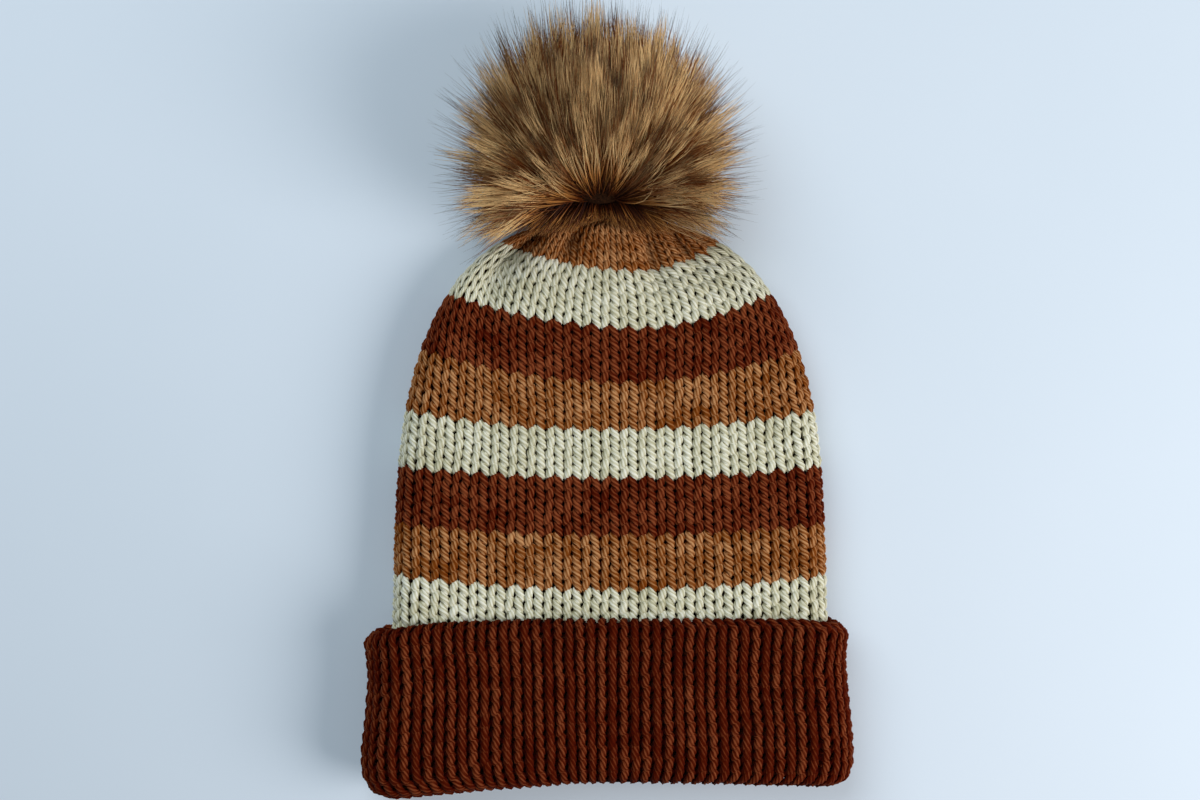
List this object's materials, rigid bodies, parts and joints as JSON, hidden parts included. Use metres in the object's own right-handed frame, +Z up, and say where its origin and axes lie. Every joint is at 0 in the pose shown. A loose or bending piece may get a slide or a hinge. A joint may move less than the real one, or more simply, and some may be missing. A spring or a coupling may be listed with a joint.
{
  "type": "pom pom beanie",
  "caption": "Striped knitted beanie lying flat, a double-layer tube with a deep turned-up cuff, a gathered crown and a removable faux fur pom that swings, lifts, spins and pulls off.",
  "frame": {"origin": "on the table, under the middle of the whole piece", "axes": "+X across the hat to its right side, +Y from the mouth to the crown and the pom, +Z up"},
  "size_m": [0.239, 0.381, 0.1075],
  "materials": {
    "caramel_yarn": "plied acrylic yarn, caramel",
    "cream_yarn": "plied acrylic yarn, warm cream",
    "rust_yarn": "plied acrylic yarn, rust brown",
    "sewing_thread": "waxed polyester thread",
    "snap_plastic": "moulded snap, dark brown",
    "fur_backing": "knitted fur backing",
    "polyester_filling": "loose fibre",
    "faux_fur": "long faux fur, dark roots and tips"
  },
  "bodies": {
    "hat": {"stripe_1_caramel": "caramel_yarn", "stripe_2_cream": "cream_yarn", "stripe_3_rust": "rust_yarn", "stripe_4_caramel": "caramel_yarn", "stripe_5_cream": "cream_yarn", "stripe_6_rust": "rust_yarn", "stripe_7_caramel": "caramel_yarn", "stripe_8_cream": "cream_yarn", "shell_brim": "rust_yarn", "cuff_backing": "rust_yarn", "cuff_face": "rust_yarn", "lining": "rust_yarn", "shell_cinch_yarn": "caramel_yarn", "lining_cinch_yarn": "rust_yarn", "yarn_end_knots": "cream_yarn"},
    "thread": {"socket_thread": "sewing_thread"},
    "socket": {"snap_socket": "snap_plastic"},
    "stud": {"snap_stud": "snap_plastic", "stud_cap": "snap_plastic"},
    "pom": {"pom_backing": "fur_backing", "pom_gather_thread": "sewing_thread", "pom_filling": "polyester_filling", "pom_pile": "faux_fur"}
  },
  "joints": [
    {"name": "pom_swing", "type": "hinge", "parent": "hat", "child": "thread", "pos_m": [-0.0035, 0.0919, 0.021], "axis": [0, 0, 1], "range_deg": [-20, 20]},
    {"name": "pom_lift", "type": "hinge", "parent": "thread", "child": "socket", "pos_m": [-0.0035, 0.0919, 0.021], "axis": [1, 0, 0], "range_deg": [0, 40]},
    {"name": "snap_pull", "type": "slide", "parent": "socket", "child": "stud", "axis": [0, 0.866, 0.5], "range_m": [0, 0.02]},
    {"name": "pom_spin", "type": "hinge", "parent": "stud", "child": "pom", "pos_m": [-0.0035, 0.0919, 0.021], "axis": [0, 0.866, 0.5], "continuous": true}
  ]
}
